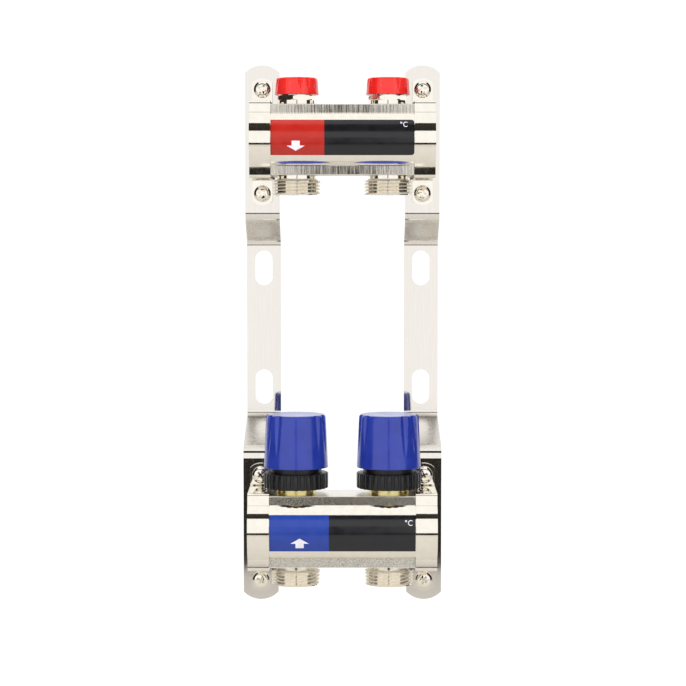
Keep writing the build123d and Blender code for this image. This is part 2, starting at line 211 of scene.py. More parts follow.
# %% Brass, steel and rubber
# Turned brass is a pale yellow metal with tool rings round the axis, about 0.3 mm apart.
turned_brass = finish("turned_brass", "#F2E29C", ("#EFDC90", "#F8ECB2"), 0.3, (0.18, 0.3), 0.003,
                      stretch=(0.05, 0.05, 1))

# Spring wire and the pin are drawn stainless steel, greyer and duller than the plating.
drawn_steel = finish("drawn_stainless_steel", "#B9B8B5", ("#AEADA9", "#C6C5C2"), 1.5, (0.2, 0.32))

# Moulded rubber for seals: nearly black, dull, with a fine 0.3 mm bloom on it.
moulded_rubber = finish("moulded_epdm_rubber", "#19191A", ("#161617", "#232324"), 0.3, (0.6, 0.8), 0.01,
                        metallic=0.0)
print("brass, steel and rubber ready")

# %% Moulded plastics
# The caps and wheels are gloss ABS. Its skin mirrors the lamps, and shrinkage after moulding
# leaves a lazy waviness of some 9 mm that bends those reflections a little.


def gloss_abs(name, dark, light):
    material = finish(name, dark, (dark, light), 9.0, (0.16, 0.24), 0.012, metallic=0.0, detail=1.0)
    shader = material.node_tree.nodes["Principled BSDF"]
    shader.inputs["IOR"].default_value = 1.54
    shader.inputs["Coat Weight"].default_value = 0.25
    shader.inputs["Coat Roughness"].default_value = 0.06
    return material


red_abs = gloss_abs("gloss_red_abs", "#E3211C", "#EA2A24")
blue_abs = gloss_abs("gloss_blue_abs", "#203396", "#25399E")

# Glass filled nylon is satin black; its skin has a fine grain, drawn here 0.5 mm coarse.
black_nylon = finish("satin_black_nylon", "#111113", ("#0F0F11", "#161618"), 0.5, (0.26, 0.38), 0.004,
                     metallic=0.0)
print("plastics ready")

# %% Printed film and inks
# The labels are polyester film, screen printed: flat colours under a satin face.


def printed_film(name, dark, light, roughness):
    return finish(name, dark, (dark, light), 5.0, (roughness - 0.03, roughness + 0.03), 0.0008,
                  metallic=0.0, detail=1.0)


black_film = printed_film("printed_film_black", "#17171A", "#1B1B1E", 0.16)
red_film = printed_film("printed_film_red", "#B12016", "#B6241A", 0.2)
blue_film = printed_film("printed_film_blue", "#1E3B97", "#223F9C", 0.2)
white_ink = printed_film("white_screen_ink", "#ECE8F2", "#F4F1F8", 0.4)
print("films ready")

# %% [markdown]
# ## Making clean meshes
#
# A mirror shows every facet, so all pieces go through one function: it merges doubles, points
# the faces outwards, shades the curves smooth and keeps true corners sharp.

# %% Turn a bmesh in millimetres into a piece


def as_piece(bm, name, materials, crease=32.0):
    bmesh.ops.remove_doubles(bm, verts=bm.verts, dist=0.002)
    bmesh.ops.recalc_face_normals(bm, faces=bm.faces)
    for face in bm.faces:
        face.smooth = True
    for edge in bm.edges:
        edge.smooth = len(edge.link_faces) == 2 and edge.calc_face_angle(pi) < radians(crease)
    bmesh.ops.scale(bm, vec=(MM, MM, MM), verts=bm.verts)
    mesh = bpy.data.meshes.new(name)
    bm.to_mesh(mesh)
    bm.free()
    piece = bpy.data.objects.new(name, mesh)
    scene.collection.objects.link(piece)
    for material in materials:
        mesh.materials.append(material)
    return piece


def join_rings(bm, one, two):
    """Faces between two rings of points. A ring that is one point many times makes triangles."""
    for k in range(len(one)):
        after = (k + 1) % len(one)
        face = [one[k], one[after], two[after], two[k]]
        face = [vert for i, vert in enumerate(face) if vert not in face[:i]]
        if len(face) > 2:
            bm.faces.new(face)


def belongs(piece, body, slot, *nodes):
    """Hang a piece on the empty of the body that carries it, and hide the solids it stands for. The slot is
    not used.
    """
    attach(piece, body)
    if nodes:
        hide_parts(*nodes)


# %% A line with rounded corners
# Points are (across, up, corner radius). The result also holds the direction at each point.
# A point just before and after each bend keeps the bend's shading off the flats beside it.


def rounded_line(corners, step=7.5):
    line = []
    for i, (a, b, radius) in enumerate(corners):
        if i in (0, len(corners) - 1):
            other = corners[1] if i == 0 else corners[-2]
            way = Vector((other[0] - a, other[1] - b)).normalized() * (1 if i == 0 else -1)
            line.append((a, b, way.x, way.y))
            continue
        before = Vector((a - corners[i - 1][0], b - corners[i - 1][1])).normalized()
        after = Vector((corners[i + 1][0] - a, corners[i + 1][1] - b)).normalized()
        turn = atan2(before.x * after.y - before.y * after.x, before.dot(after))
        reach = radius * tan(abs(turn) / 2)
        start = Vector((a, b)) - before * reach
        inward = Vector((-before.y, before.x)) * (1 if turn > 0 else -1)
        centre = start + inward * radius
        count = max(1, round(abs(turn) / radians(step)))
        guard = 0.25 if radius > 0.25 else 0.0
        room = min(hypot(a - corners[i - 1][0], b - corners[i - 1][1]),
                   hypot(corners[i + 1][0] - a, corners[i + 1][1] - b)) / 2 - reach
        if guard and room > guard:
            spot = start - before * guard
            line.append((spot.x, spot.y, before.x, before.y))
        for k in range(count + 1):
            angle = turn * k / count
            way = Vector((before.x * cos(angle) - before.y * sin(angle),
                          before.x * sin(angle) + before.y * cos(angle)))
            out = Vector((-way.y, way.x)) * (1 if turn > 0 else -1)
            spot = centre - out * radius
            line.append((spot.x, spot.y, way.x, way.y))
        if guard and room > guard:
            spot += after * guard
            line.append((spot.x, spot.y, after.x, after.y))
    return line


# %% Cut one piece out of another
# Where the two skins meet there is a new corner, so the corners are marked once more.


def cut_away(piece, cutter, crease):
    cut = piece.modifiers.new("cut", "BOOLEAN")
    cut.object = cutter
    cut.operation = "DIFFERENCE"
    cut.solver = "EXACT"
    cut.use_self = True
    bpy.context.view_layer.update()
    mesh = bpy.data.meshes.new_from_object(piece.evaluated_get(bpy.context.evaluated_depsgraph_get()))
    piece.modifiers.clear()
    piece.data = mesh
    bpy.data.objects.remove(cutter)
    bm = bmesh.new()
    bm.from_mesh(mesh)
    for edge in bm.edges:
        edge.smooth = len(edge.link_faces) == 2 and edge.calc_face_angle(pi) < radians(crease)
    bm.to_mesh(mesh)
    bm.free()


# %% [markdown]
# ## Bent sheet
#
# Brackets, clamp straps and labels are all flat blanks that were bent. They are made the same
# way here: a flat outline with its holes, sliced wherever it will bend, given its thickness,
# and then laid along a line. The bend stays even because every slice follows the line.

# %% Bend a flat outline along a line


def bent_sheet(name, outlines, line, thickness, place, materials):
    """Outlines are loops of (x, distance along the line); place is (x, y, z) of the line's zero."""
    stations = [0.0]
    for p, q in zip(line, line[1:]):
        stations.append(stations[-1] + hypot(q[0] - p[0], q[1] - p[1]))
    loops = [[Vector((u, s, 0)) for u, s in loop] for loop in outlines]
    flat = [point for loop in loops for point in loop]
    bm = bmesh.new()
    corners = [bm.verts.new(point) for point in flat]
    for triangle in tessellate_polygon(loops):
        bm.faces.new([corners[k] for k in triangle])
    for s in stations[1:-1]:
        everything = bm.verts[:] + bm.edges[:] + bm.faces[:]
        bmesh.ops.bisect_plane(bm, geom=everything, plane_co=(0, s, 0), plane_no=(0, 1, 0), dist=0.001)
    front = bmesh.ops.extrude_face_region(bm, geom=bm.faces[:])["geom"]
    for vert in (v for v in front if isinstance(v, bmesh.types.BMVert)):
        vert.co.z = thickness
    for vert in bm.verts:
        u, s, w = vert.co
        i = min(max(bisect_right(stations, s) - 1, 0), len(line) - 2)
        share = (s - stations[i]) / (stations[i + 1] - stations[i])
        y, z, dy, dz = [a + (b - a) * share for a, b in zip(line[i], line[i + 1])]
        length = hypot(dy, dz)
        vert.co = (place[0] + u, place[1] + y + w * dz / length, place[2] + z - w * dy / length)
    return as_piece(bm, name, materials), stations[-1]


def line_length(line):
    return sum(hypot(q[0] - p[0], q[1] - p[1]) for p, q in zip(line, line[1:]))


def arc(centre, radius, start, end, steps=24):
    """Points of an arc, angles in degrees."""
    angles = [radians(start + (end - start) * k / steps) for k in range(steps + 1)]
    return [(centre[0] + radius * cos(a), centre[1] + radius * sin(a)) for a in angles]


def soften(piece, width):
    """Round the edges that the press leaves, and keep the flats truly flat."""
    bevel = piece.modifiers.new("edges", "BEVEL")
    bevel.width = width * MM
    bevel.segments = 3
    bevel.limit_method = "ANGLE"
    bevel.angle_limit = radians(50)
    bevel.harden_normals = True


# %% [markdown]
# ## Brackets
#
# Each bracket is one strip of 2.5 mm steel, 19 mm wide. It steps forward a little for the
# supply bar and much further for the return bar, so that the pipes pass each other. Two
# upright slots let the fitter shift it on the wall screws. In the flat blank a slot's place
# is its distance along the strip, so it is counted back from the flat that lies on the wall.

# %% Bend the two brackets
strip_width = 19.2
strip_thickness = 2.5
half_height = 147.5
end_radius = 13.0
upper_step = (63.0, 51.0)
lower_step = (-51.5, -65.5)
step_bend = 5.0
wall_bend = 8.0
slot_height = 34.0
slot_radius = 5.0
slot_run = 5.0
supply_back = supply_axis[0] + bar_front + strip_thickness
return_back = return_axis[0] + bar_front + strip_thickness
strip_line = rounded_line([
    (supply_back, half_height, 0), (supply_back, upper_step[0], step_bend), (0, upper_step[1], wall_bend),
    (0, lower_step[0], step_bend), (return_back, lower_step[1], step_bend), (return_back, -half_height, 0),
])
end_angle = asin(strip_width / 2 / end_radius) * 180 / pi
above_wall_flat = [p for p in strip_line if p[1] > slot_height]
strip_length = line_length(strip_line)
for side_name, side in sides.items():
    outline = arc((0, end_radius), end_radius, 270 - end_angle, 270 + end_angle)
    outline += arc((0, strip_length - end_radius), end_radius, 90 - end_angle, 90 + end_angle)
    slots = []
    for height in (slot_height, -slot_height):
        along = line_length(above_wall_flat) + above_wall_flat[-1][1] - height
        slots.append(arc((0, along - slot_run), slot_radius, 180, 360)
                     + arc((0, along + slot_run), slot_radius, 0, 180))
    bracket, length = bent_sheet(f"bracket_{side_name}", [outline] + slots, strip_line, strip_thickness,
                                 (side * bracket_x, 0, 0), [strip_nickel, satin_nickel])
    # The slopes of the two steps are satin, everything else is rolled strip.
    for face in bracket.data.polygons:
        face.material_index = 1 if abs(face.normal.z) > 0.6 and abs(face.center.z) < 0.1 else 0
    soften(bracket, 0.5)
    belongs(bracket, "manifold", "nickel_strip", f"{side_name}_bracket")
print("strip of", round(length, 1), "mm before bending")

# %% [markdown]
# ## Clamp straps
#
# A strap starts as a flat ear under a screw, turns out along the top of the bar, follows the
# narrow strip and the round bulge at the front, and comes back the same way. The bands of
# light and dark on it are the room mirrored in those turns, so the turns matter most.

# %% Bend the four straps
strap_width = 11.5
strap_thickness = 1.5
strap_gap = 0.1
ear_length = 16.15
ear_reach = bar_top + ear_length
ear_bend = 2.5
edge_bend = 0.3
crease_bend = 2.2
crease_margin = 3.0
bulge_steps = 72
ear_radius = 8.0
ear_drop = {"supply": 0.0, "return": 2.4}
# The narrow strips lean by these few tenths, which decides what each of them mirrors.
upper_lean = 0.3
lower_lean = {"supply": 0.65, "return": 0.0}
inner_top = bar_top + strap_gap
inner_front = half_depth + 0.9
inner_bulge = bulge_radius + strap_gap
crease_height = sqrt(inner_bulge ** 2 - (inner_front - bulge_centre) ** 2)
crease_angle = asin(crease_height / inner_bulge) * 180 / pi


def strap_line(drop, lean):
    """The strap's inner face from its upper ear to its lower one, seen from the side."""
    cut = crease_angle - crease_margin
    bulge = [(-bulge_centre - inner_bulge * cos(radians(a)), inner_bulge * sin(radians(a)))
             for a in (cut, cut / 2, 0, -cut / 2, -cut)]
    upper = rounded_line([(bar_front, ear_reach - drop, 0), (bar_front, inner_top, ear_bend),
                          (upper_lean - inner_front, inner_top, edge_bend),
                          (-inner_front, crease_height, crease_bend), (*bulge[0], 0)])
    lower = rounded_line([(*bulge[-1], 0), (-inner_front, -crease_height, crease_bend),
                          (lean - inner_front, -inner_top, edge_bend),
                          (bar_front, -inner_top, ear_bend), (bar_front, -ear_reach - drop, 0)])
    middle = []
    for k in range(1, bulge_steps):
        a = radians(cut - 2 * cut * k / bulge_steps)
        middle.append((-bulge_centre - inner_bulge * cos(a), inner_bulge * sin(a), -sin(a), -cos(a)))
    return upper + middle + lower


ear_angle = asin(strap_width / 2 / ear_radius) * 180 / pi
for bar_name, (axis_y, axis_z) in axes.items():
    line = strap_line(ear_drop[bar_name], lower_lean[bar_name])
    strap_length = line_length(line)
    outline = arc((0, ear_radius), ear_radius, 270 - ear_angle, 270 + ear_angle)
    outline += arc((0, strap_length - ear_radius), ear_radius, 90 - ear_angle, 90 + ear_angle)
    for side_name, side in sides.items():
        strap, length = bent_sheet(f"{bar_name}_clamp_{side_name}", [outline], line, strap_thickness,
                                   (side * bracket_x, axis_y, axis_z), [bright_nickel])
        soften(strap, 0.45)
        belongs(strap, "manifold", "nickel", f"{bar_name}_strap_{side_name}")
print("strap of", round(length, 1), "mm before bending")

# %% [markdown]
# ## Bars
#
# The bars are extruded: flat on top and below, with a narrow strip and a round bulge at the
# front and the back. Each is a prism between two end faces, with a threaded port at each end,
# and a boolean drills the round holes that the valves and the nipples stand in.

# %% Draw the bar's section
strip_bottom = sqrt(bulge_radius ** 2 - (half_depth - bulge_centre) ** 2)
bulge_angle = asin(strip_bottom / bulge_radius) * 180 / pi
bar_edge_radius = 0.4
BRIGHT, UPPER_STRIP, FLAT, LOWER_STRIP = range(4)


def bar_section():
    """Points (y, z) of the section and, for each, the finish of the face that follows it."""
    quarter = [(p[0], p[1]) for p in rounded_line(
        [(0, bar_top, 0), (half_depth, bar_top, bar_edge_radius), (half_depth, strip_bottom, 0)], 15)]
    bulge = arc((bulge_centre, 0), bulge_radius, bulge_angle, -bulge_angle, 48)[1:]
    down = [(y, -z) for y, z in reversed(quarter[:-1])][:-1]
    half = quarter + bulge + down
    points = half + [(0, -bar_top)] + [(-y, z) for y, z in reversed(half[1:])]
    finishes = []
    for (y, z), (v, w) in zip(points, points[1:] + points[:1]):
        on_strip = abs(abs(y) - half_depth) < 0.01 and abs(abs(v) - half_depth) < 0.01
        on_flat = min(abs(z), abs(w)) > bar_top - 0.01
        strip = UPPER_STRIP if z > 0 else LOWER_STRIP
        finishes.append(strip if on_strip else FLAT if on_flat else BRIGHT)
    return points, finishes


# %% The inside of a bar
port_radius = 15.15
port_depth = 14.0
waterway_radius = 14.0
port_thread_pitch = 2.309
port_thread_depth = 0.7
bore_count = 96
section, finishes = bar_section()


def bore_rings():
    """Rings (x, radius) down the inside from one end to the other, with thread in the ports."""
    half = bar_length / 2
    turns = [(half - 0.1, port_radius + 0.6), (half - 0.9, port_radius)]
    count = int((port_depth - 2) / (port_thread_pitch / 2))
    for k in range(count):
        turns.append((half - 1.2 - k * port_thread_pitch / 2,
                      port_radius - (port_thread_depth if k % 2 else 0)))
    turns += [(half - port_depth, port_radius - port_thread_depth),
              (half - port_depth, waterway_radius)]
    return turns + [(-x, r) for x, r in reversed(turns)]


# %% A drill for the two holes above each other
valve_hole_radius = 10.0
nipple_hole_radius = 9.0


def outlet_drill(side, axis_y, axis_z):
    bm = bmesh.new()
    for way, radius in ((1, valve_hole_radius), (-1, nipple_hole_radius)):
        ring = arc((side * outlet_offset, axis_y), radius, 0, 354, 59)
        ends = [[bm.verts.new((*point, axis_z + way * height)) for point in ring]
                for height in (5.0, bar_top + 1)]
        join_rings(bm, *ends)
        for end in ends:
            bm.faces.new(end)
    return as_piece(bm, "outlet_drill", [bright_nickel])


# %% Build both bars
edge_metals = {"supply": (milled_nickel, milled_nickel), "return": (grained_nickel, rough_nickel)}
for bar_name, (axis_y, axis_z) in axes.items():
    bm = bmesh.new()
    rows = []
    for x in (-bar_length / 2, bar_length / 2):
        rows.append([bm.verts.new((x, axis_y + y, axis_z + z)) for y, z in section])
    for k in range(len(section)):
        after = (k + 1) % len(section)
        face = bm.faces.new([rows[0][k], rows[0][after], rows[1][after], rows[1][k]])
        face.material_index = finishes[k]
    circle = [(cos(2 * pi * k / bore_count), sin(2 * pi * k / bore_count)) for k in range(bore_count)]
    bore = []
    for x, radius in bore_rings():
        bore.append([bm.verts.new((x, axis_y + radius * c, axis_z + radius * s)) for c, s in circle])
    for one, two in zip(bore, bore[1:]):
        join_rings(bm, one, two)
    for outer, inner in ((rows[1], bore[0]), (rows[0], bore[-1])):
        ring = outer + inner
        flat = [[Vector((vert.co.y, vert.co.z, 0)) for vert in loop] for loop in (outer, inner)]
        for triangle in tessellate_polygon(flat):
            bm.faces.new([ring[k] for k in triangle])
    upper_edge, lower_edge = edge_metals[bar_name]
    bar = as_piece(bm, f"{bar_name}_bar_body", [bright_nickel, upper_edge, satin_nickel, lower_edge])
    for side in sides.values():
        cut_away(bar, outlet_drill(side, axis_y, axis_z), 32)
    belongs(bar, "manifold", "nickel", f"{bar_name}_bar")
print("bars with", len(section), "points round the section")

# %% [markdown]
# ## Labels
#
# Each label is a thin film round the front of the bulge: a colour field with a flow arrow and
# a black field with a degree Celsius mark. The inks are films of their own, a few hundredths
# of a millimetre thick, bent round the same bulge.

# %% Draw the films and the marks flat
label_half = 38.9
label_angle = 61.5
film_radius = bulge_radius + 0.05
film_thickness = 0.3
film_height = radians(label_angle) * film_radius
ink_thickness = 0.03


def bulge_line(radius, lift):
    """A line round the front of the bulge, from the label's top edge to its bottom edge."""
    steps = 36
    line = []
    for k in range(steps + 1):
        a = radians(lift + label_angle / 2 - label_angle * k / steps)
        line.append((-bulge_centre - radius * cos(a), radius * sin(a), -sin(a), -cos(a)))
    return line


def box(left, right, top, bottom, corner=0.0):
    """A box as (x, distance down the label), its right corners rounded."""
    if corner == 0:
        return [(left, top), (right, top), (right, bottom), (left, bottom)]
    high = arc((right - corner, top + corner), corner, 270, 360, 8)
    low = arc((right - corner, bottom - corner), corner, 0, 90, 8)
    return [(left, top)] + high + low + [(left, bottom)]


def arrow(x, middle, way):
    """A block arrow; way is 1 for down and -1 for up."""
    half, stem, tip, barb = 4.9, 2.2, 2.75, 0.1
    shape = [(-half, -barb), (0, tip), (half, -barb), (stem, -barb), (stem, -tip), (-stem, -tip),
             (-stem, -barb)]
    return [(x + u, middle + way * s) for u, s in shape]


def letter_c(x, middle):
    outer = arc((x, middle), 1.45, 48, 312, 20)
    inner = arc((x, middle), 1.1, 312, 48, 20)
    return [(u, middle + (s - middle) * 1.05) for u, s in outer + inner]


def degree_ring(x, middle):
    return [arc((x, middle), radius, 0, 345, 23) for radius in (0.55, 0.25)]


# %% Bend the films and the marks
label_plan = {
    "supply": {"film": red_film, "split": -9.8, "corner": 1.7, "arrow": (-25.2, 14.8, 1),
               "mark": (33.3, 2.9), "lift": 3.0},
    "return": {"film": blue_film, "split": -7.2, "corner": 0.3, "arrow": (-22.7, 15.2, -1),
               "mark": (35.3, 4.1), "lift": 0.0},
}
for bar_name, plan in label_plan.items():
    axis_y, axis_z = axes[bar_name]
    place = (0, axis_y, axis_z)
    film_line = bulge_line(film_radius, plan["lift"])
    ink_line = bulge_line(film_radius + film_thickness, plan["lift"])
    black = box(plan["split"], label_half, 0, film_height, plan["corner"])
    field = box(-label_half, plan["split"], 0, film_height)
    sheet, _ = bent_sheet(f"{bar_name}_label_black", [black], film_line, film_thickness, place,
                          [black_film])
    belongs(sheet, "manifold", "label_film", f"{bar_name}_label")
    sheet, _ = bent_sheet(f"{bar_name}_label_field", [field], film_line, film_thickness, place,
                          [plan["film"]])
    belongs(sheet, "manifold", "label_film")
    x, middle = plan["mark"]
    marks = {"flow_arrow": [arrow(*plan["arrow"])], "celsius_c": [letter_c(x + 1.0, middle)],
             "celsius_degree": degree_ring(x - 1.5, middle - 1.0)}
    for mark_name, outlines in marks.items():
        ink, _ = bent_sheet(f"{bar_name}_{mark_name}", outlines, ink_line, ink_thickness, place,
                            [white_ink])
        belongs(ink, "manifold", "label_film")
print("labels", round(2 * label_half, 1), "by", round(film_height, 1), "mm")

# %% [markdown]
# ## Turned pieces
#
# Nipples, caps, wheels and rings come off a lathe or out of a round mould. A profile of
# (radius, height) pairs is spun about its axis, and a rule may then change the radius as it
# goes round, which gives the screw thread and the flutes.

# %% Spin a profile


def turned(name, bar_name, side, profile, materials, count=128, rule=None):
    """Spin the profile above one outlet. A profile that keeps off the axis closes on itself."""
    x = side * outlet_offset
    y, z = axes[bar_name]
    bm = bmesh.new()
    rows = []
    for radius, height in profile:
        if radius == 0:
            rows.append([bm.verts.new((x, y, z + height))] * count)
            continue
        row = []
        for k in range(count):
            turn = 2 * pi * k / count
            r = rule(radius, height, turn) if rule else radius
            row.append(bm.verts.new((x + r * sin(turn), y - r * cos(turn), z + height)))
        rows.append(row)
    hollow = profile[0][0] > 0
    for one, two in zip(rows, rows[1:] + (rows[:1] if hollow else [])):
        join_rings(bm, one, two)
    return as_piece(bm, name, materials)


def profile_of(corners, step=10):
    """A profile from (radius, height, corner radius) triples."""
    return [(p[0], p[1]) for p in rounded_line(corners, step)]


# %% [markdown]
# ## Outlet nipples
#
# Below each bar stand two male three-quarter inch pipe threads, 14 turns to the inch. The
# crests are a little flattened, and a chamfer leads into the thread at both ends.

# %% Cut the thread of the four nipples
thread_radius = 13.2
thread_depth = 1.3
pipe_pitch = 25.4 / 14
thread_top = -bar_top - 3.0
thread_bottom = -bar_top - 10.75
neck_radius = 10.8
tail_radius = 9.0
seat_height = 7.25
mouth_depth = 6.0
seat_bore = 7.0
thread_rows = 96


def thread(radius, height, turn):
    if radius < neck_radius + 0.5 or not thread_bottom + 0.3 < height < thread_top:
        return radius
    along = (height / pipe_pitch - turn / (2 * pi)) % 1.0
    ridge = (0.5 + 0.5 * cos(2 * pi * along)) ** 0.7
    fade = min(1.0, (height - thread_bottom) / 0.9, (thread_top - height) / 0.9)
    return radius - thread_depth * (1 - ridge) * max(0.0, fade)


nipple_profile = [(tail_radius, -bar_top + 0.5), (neck_radius, -bar_top + 0.5)]
nipple_profile += profile_of([(neck_radius, -bar_top, 0), (neck_radius, thread_top + 0.8, 0.5),
                              (thread_radius - 0.5, thread_top, 0)])
for k in range(thread_rows + 1):
    nipple_profile.append((thread_radius,
                           thread_top + (thread_bottom + 0.5 - thread_top) * k / thread_rows))
nipple_profile += [(thread_radius - 0.5, thread_bottom), (9.7, thread_bottom),
                   (9.5, thread_bottom + 0.15), (seat_bore, thread_bottom + mouth_depth),
                   (seat_bore, seat_height - bar_top), (tail_radius, seat_height - bar_top)]
for bar_name in axes:
    for side_name, side in sides.items():
        nipple = turned(f"{bar_name}_outlet_{side_name}", bar_name, side, nipple_profile, [bright_nickel],
                        160, thread)
        belongs(nipple, "manifold", "nickel", f"{bar_name}_nipple_{side_name}")
print("thread pitch", round(pipe_pitch, 3), "mm")

# %% [markdown]
# ## Fluted caps and wheels
#
# A flute is what a round cutter leaves when it leans out of the knob: deep and wide at the
# top, running out to nothing lower down. The rule below takes that bite out of the radius.

# %% The rule for flutes


def flute_rule(knob, plain_turn):
    half_group = (knob["in_group"] - 1) / 2
    turns = []
    for group in (90, 270):
        for i in range(knob["in_group"]):
            turns.append(radians(plain_turn + group + (i - half_group) * knob["step"]))

    def bite(radius, height, turn):
        if radius < knob["least"] or height < knob["bottom"]:
            return radius
        run = knob["reach"] * (knob["top"] - knob["bottom"])
        depth = knob["depth"] * (1 - (knob["top"] - height) / run)
        if depth <= 0:
            return radius
        side_radius = knob["top_radius"] + (knob["top"] - height) / (knob["top"] - knob["bottom"]) * (
            knob["bottom_radius"] - knob["top_radius"])
        best = radius
        for flute in turns:
            away = (turn - flute + pi) % (2 * pi) - pi
            centre = side_radius - depth + knob["cutter"]
            off = centre * sin(away)
            if abs(away) < 0.5 and abs(off) < knob["cutter"]:
                best = min(best, centre * cos(away) - sqrt(knob["cutter"] ** 2 - off ** 2))
        return best

    return bite


def knob_profile(knob, edge, wall_radius, roof, dish):
    """Outside from the rim up and over to the middle, then down the inside."""
    bottom, top = knob["bottom"], knob["top"]
    outside = profile_of([(knob["bottom_radius"] - 0.5, bottom, 0), (knob["bottom_radius"], bottom, 0.3),
                          (knob["top_radius"], top, edge), (knob["top_radius"] - edge - 2.5, top, 0)])
    dense = []
    for (r, h), (u, v) in zip(outside, outside[1:]):
        parts = 40 if v - h > 3 else 1
        dense += [(r + (u - r) * k / parts, h + (v - h) * k / parts) for k in range(parts)]
    middle = [(knob["top_radius"] - edge - 2.5, top), (4.0, top - dish), (0, top - dish)]
    inside = [(wall_radius - 0.2, top - roof), (wall_radius, bottom + 0.3)]
    return [(0, top - roof)] + inside + dense + middle


# %% Mould the red caps
cap = {"bottom": bar_top + 5.45, "top": bar_top + 14.75, "bottom_radius": 12.05, "top_radius": 11.2,
       "in_group": 5, "step": 25.0, "depth": 0.9, "reach": 0.66, "cutter": 1.5, "least": 9.2}
cap_turns = {"left": -30.0, "right": -10.0}
for side_name, side in sides.items():
    profile = knob_profile(cap, edge=1.2, wall_radius=9.05, roof=1.75, dish=0.25)
    piece = turned(f"cap_{side_name}", "supply", side, profile, [red_abs], 288,
                   flute_rule(cap, cap_turns[side_name]))
    belongs(piece, f"red_cap_{side_name}", "red_plastic", f"red_cap_{side_name}")
print("caps", round(cap["top"] - cap["bottom"], 1), "mm high")

# %% Mould the blue hand wheels
wheel = {"bottom": bar_top + 14.15, "top": bar_top + 42.65, "bottom_radius": 17.3, "top_radius": 16.0,
         "in_group": 5, "step": 25.0, "depth": 1.5, "reach": 0.76, "cutter": 2.6, "least": 14.3}
wheel_turns = {"left": 5.0, "right": -10.0}
for side_name, side in sides.items():
    profile = knob_profile(wheel, edge=1.6, wall_radius=14.2, roof=3.0, dish=0.4)
    piece = turned(f"wheel_{side_name}", "return", side, profile, [blue_abs], 360,
                   flute_rule(wheel, wheel_turns[side_name]))
    belongs(piece, f"hand_wheel_{side_name}", "blue_plastic", f"hand_wheel_{side_name}")
print("wheels", round(wheel["top"] - wheel["bottom"], 1), "mm high")

# %% [markdown]
# ## What repeats: Geometry Nodes
#
# Ribs and screws repeat, so one of each is modelled and a small tree copies it. The tree's
# inputs carry the sizes. The result is turned into a plain mesh, which is what gets kept.

# %% Start a tree and read its result


def new_tree(name, inputs):
    tree = bpy.data.node_groups.new(name, "GeometryNodeTree")
    for label, kind in inputs.items():
        tree.interface.new_socket(label, in_out="INPUT", socket_type=kind)
    tree.interface.new_socket("Geometry", in_out="OUTPUT", socket_type="NodeSocketGeometry")
    entry = add_node(tree, "NodeGroupInput").outputs
    return tree, entry


def end_tree(tree, geometry, material):
    real = add_node(tree, "GeometryNodeRealizeInstances", {0: geometry})
    painted = add_node(tree, "GeometryNodeSetMaterial", {"Geometry": real.outputs[0], "Material": material})
    add_node(tree, "NodeGroupOutput", {0: painted.outputs[0]})


def grow(name, tree, values):
    """Run the tree on an empty host and keep what it makes as a plain piece."""
    host = bpy.data.objects.new(name, bpy.data.meshes.new(name + "_host"))
    scene.collection.objects.link(host)
    modifier = host.modifiers.new("grow", "NODES")
    modifier.node_group = tree
    for item in tree.interface.items_tree:
        if item.item_type == "SOCKET" and item.in_out == "INPUT":
            modifier[item.identifier] = values[item.name]
    bpy.context.view_layer.update()
    evaluated = host.evaluated_get(bpy.context.evaluated_depsgraph_get())
    mesh = bpy.data.meshes.new_from_object(evaluated)
    host.modifiers.clear()
    host.data = mesh
    return host


# %% [markdown]
# ## Union rings
#
# A black nylon ring screws each wheel's carrier to the valve. Twenty-eight low ribs give grip.
# One rib is a short bar with round shoulders, copied round a circle.

# %% Model one rib and a ring to carry it
ring_bottom = bar_top + 3.05
ring_top = bar_top + 11.35
ring_radius = 17.3
ring_root = 16.6
rib_count = 28
rib_share = 0.64
ring_bore = 14.96
lip_bore = 13.95
lip_bottom = ring_top - 1.6
ring_profile = profile_of([(ring_bore, ring_bottom, 0), (ring_root, ring_bottom, 0.3),
                           (ring_root, ring_top, 0.5), (lip_bore, ring_top, 0.2), (lip_bore, lip_bottom, 0)])
ring_profile += [(ring_bore, lip_bottom)]

bm = bmesh.new()
rib_half = pi * ring_radius / rib_count * rib_share
rib_shape = [(ring_root - 0.4, -rib_half - 0.15), (ring_radius - 0.25, -rib_half),
             (ring_radius, -rib_half + 0.3), (ring_radius, rib_half - 0.3), (ring_radius - 0.25, rib_half),
             (ring_root - 0.4, rib_half + 0.15)]
levels = [(ring_bottom, 0.35), (ring_bottom + 0.35, 0), (ring_top - 0.45, 0), (ring_top, 0.45)]
rib_rows = []
for height, inset in levels:
    rib_rows.append([bm.verts.new((max(r - inset, ring_root - 0.4), w * (1 - inset * 0.2), height))
                     for r, w in rib_shape])
for one, two in zip(rib_rows, rib_rows[1:]):
    join_rings(bm, one, two)
bm.faces.new(rib_rows[0])
bm.faces.new(rib_rows[-1])
rib = as_piece(bm, "one_rib", [black_nylon], 50)
print("rib", round(2 * rib_half, 2), "mm wide")

